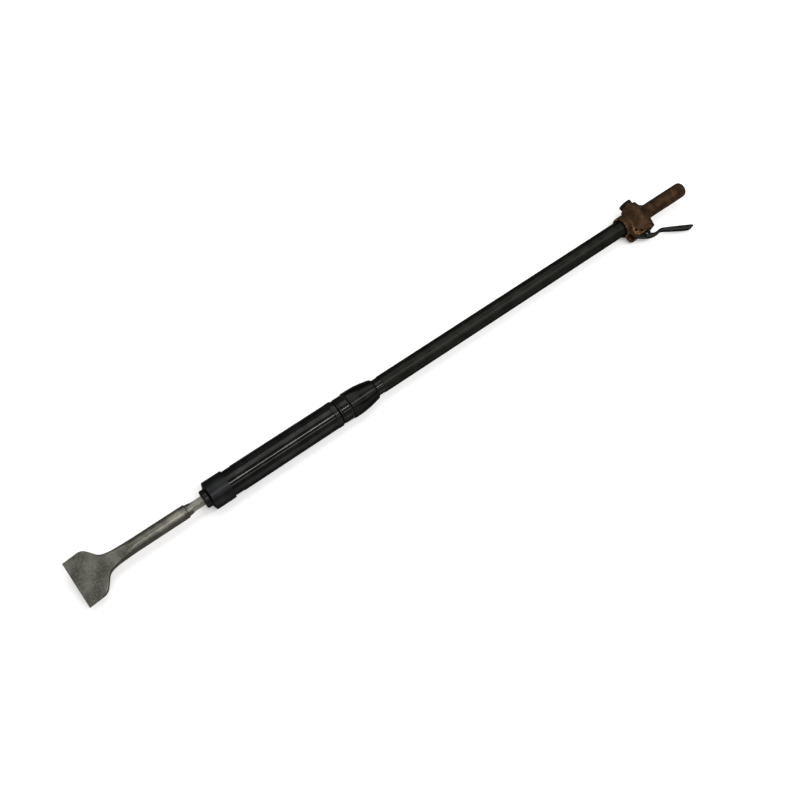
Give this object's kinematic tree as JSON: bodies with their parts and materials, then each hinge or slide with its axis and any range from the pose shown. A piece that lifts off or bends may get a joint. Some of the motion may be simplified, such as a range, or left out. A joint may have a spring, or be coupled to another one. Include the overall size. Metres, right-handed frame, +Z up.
{
  "type": "pneumatic scaling hammer",
  "caption": "Long-reach pneumatic scaling hammer: cast throttle handle with squeeze lever, long tube, tapered coupling, piston barrel and a broad flat chisel.",
  "frame": {"origin": "centre of the air inlet's mouth, on the tool's axis", "axes": "+X along the tool towards the chisel's cutting edge, +Y to the lever's side, +Z up with the tool lying on a bench"},
  "size_m": [1.2435, 0.1079, 0.0474],
  "materials": {
    "forged": "forged, mottled grey scale",
    "black_steel": "gloss black oxide over turned steel",
    "satin_black": "satin black oxide",
    "tube_black": "matte black, scuffed",
    "bronze": "sand-cast bronze with a dark patina and worn edges",
    "dark_steel": "parkerised",
    "bright_steel": "ground",
    "rubber": "matte",
    "fibre": "pressed fibre"
  },
  "bodies": {
    "hammer": {"nose_bushing": "dark_steel", "retaining_ring": "bright_steel", "retainer_buffer": "rubber", "retainer_sleeve": "satin_black", "barrel": "black_steel", "valve_seat_block": "bright_steel", "valve_box": "bright_steel", "valve_cover": "bright_steel", "valve_dowels": "bright_steel", "valve_spring_washer": "bright_steel", "barrel_lock_ring": "satin_black", "lock_washer": "satin_black", "spacer_ring": "satin_black", "coupling_seal": "rubber", "tube_coupling": "satin_black", "coupling_gasket": "fibre", "handle_tube": "tube_black", "tube_gasket": "fibre", "throttle_body": "bronze", "valve_cap": "satin_black", "cap_gasket": "fibre", "throttle_spring": "bright_steel", "valve_seat_bush": "bronze", "plunger_gland": "satin_black", "plunger_seal": "rubber", "lever_pivot_pin": "dark_steel", "lever_stop_pin": "dark_steel", "inlet_strainer": "bright_steel"},
    "chisel": {"chisel": "forged"},
    "piston": {"piston": "bright_steel"},
    "distributor_valve": {"distributor_valve": "bright_steel"},
    "lever": {"throttle_lever": "dark_steel"},
    "throttle_plunger": {"plunger": "dark_steel", "throttle_valve": "bright_steel"}
  },
  "joints": [
    {"name": "chisel_slide", "type": "slide", "parent": "hammer", "child": "chisel", "axis": [1, 0, 0], "range_m": [-0.006, 0.01]},
    {"name": "piston_slide", "type": "slide", "parent": "hammer", "child": "piston", "axis": [1, 0, 0], "range_m": [-0.075, 0]},
    {"name": "distributor_valve_slide", "type": "slide", "parent": "hammer", "child": "distributor_valve", "axis": [1, 0, 0], "range_m": [-0.003, 0]},
    {"name": "throttle_lever_hinge", "type": "hinge", "parent": "hammer", "child": "lever", "pos_m": [0.1333, 0.02631, -0.00559], "axis": [0, 0.2079, 0.9781], "range_deg": [0, 14], "stiffness_Nm_per_rad": 1, "springref_deg": -17.19},
    {"name": "throttle_plunger_slide", "type": "slide", "parent": "hammer", "child": "throttle_plunger", "axis": [0, 0.9781, -0.2079], "range_m": [-0.0045, 0], "deforming": ["throttle_spring"]}
  ],
  "couplings": [
    {"joint": "throttle_plunger_slide", "follows": "throttle_lever_hinge", "m_per_rad": -0.017}
  ]
}
